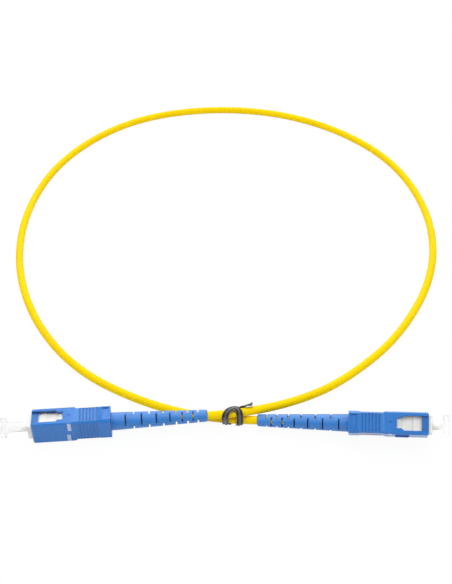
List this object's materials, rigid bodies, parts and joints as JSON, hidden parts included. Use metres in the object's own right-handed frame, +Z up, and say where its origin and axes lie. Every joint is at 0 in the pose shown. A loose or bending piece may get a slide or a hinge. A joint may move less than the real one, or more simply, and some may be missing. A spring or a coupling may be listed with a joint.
{
  "type": "fibre optic patch cable",
  "caption": "Looped yellow fibre patch cord with a blue push-pull plug, slotted boot and dust cap on each end, tied where its strands cross.",
  "frame": {"origin": "on the surface that the cord lies on, at the middle of the two plugs' box", "axes": "+X along the row of the two plugs, +Y from the plugs into the loop, +Z up"},
  "size_m": [0.1642, 0.1925, 0.0129],
  "materials": {
    "grip_plastic": "moulded",
    "boot_plastic": "moulded, satin",
    "frame_plastic": "moulded",
    "cap_plastic": "translucent, moulded",
    "ceramic": "polished",
    "plated_brass": "nickel plated, turned",
    "spring_steel": "drawn wire",
    "yarn": "loose fibres",
    "buffer": "extruded",
    "jacket": "extruded, satin",
    "tie_plastic": "extruded ribbon over wire"
  },
  "bodies": {
    "core": {"cable": "jacket", "twist_tie": "tie_plastic", "left_plug_frame": "frame_plastic", "left_stop_ring": "plated_brass", "left_spring": "spring_steel", "left_yarn": "yarn", "left_crimp_sleeve": "plated_brass", "left_boot": "boot_plastic", "right_plug_frame": "frame_plastic", "right_stop_ring": "plated_brass", "right_spring": "spring_steel", "right_yarn": "yarn", "right_crimp_sleeve": "plated_brass", "right_boot": "boot_plastic"},
    "left_grip": {"left_grip": "grip_plastic"},
    "left_ferrule": {"left_ferrule": "ceramic", "left_ferrule_flange": "plated_brass", "left_fibre": "buffer"},
    "left_cap": {"left_dust_cap": "cap_plastic"},
    "right_grip": {"right_grip": "grip_plastic"},
    "right_ferrule": {"right_ferrule": "ceramic", "right_ferrule_flange": "plated_brass", "right_fibre": "buffer"},
    "right_cap": {"right_dust_cap": "cap_plastic"}
  },
  "joints": [
    {"name": "left_grip_slide", "type": "slide", "parent": "core", "child": "left_grip", "axis": [0.9976, 0.0675, 0.0148], "range_m": [-0.0004, 0.0021]},
    {"name": "left_ferrule_press", "type": "slide", "parent": "core", "child": "left_ferrule", "axis": [0.9976, 0.0675, 0.0148], "range_m": [0, 0.0015], "stiffness_N_per_m": 2700, "springref_m": -0.0026, "deforming": ["left_spring"]},
    {"name": "left_cap_pull", "type": "slide", "parent": "left_ferrule", "child": "left_cap", "axis": [-0.9976, -0.0675, -0.0148], "range_m": [-0.0033, 0.012]},
    {"name": "right_grip_slide", "type": "slide", "parent": "core", "child": "right_grip", "axis": [-0.9913, 0.1042, -0.0802], "range_m": [-0.0002, 0.0023]},
    {"name": "right_ferrule_press", "type": "slide", "parent": "core", "child": "right_ferrule", "axis": [-0.9913, 0.1042, -0.0802], "range_m": [0, 0.0015], "stiffness_N_per_m": 2700, "springref_m": -0.0026, "deforming": ["right_spring"]},
    {"name": "right_cap_pull", "type": "slide", "parent": "right_ferrule", "child": "right_cap", "axis": [0.9913, -0.1042, 0.0802], "range_m": [0, 0.015]}
  ]
}
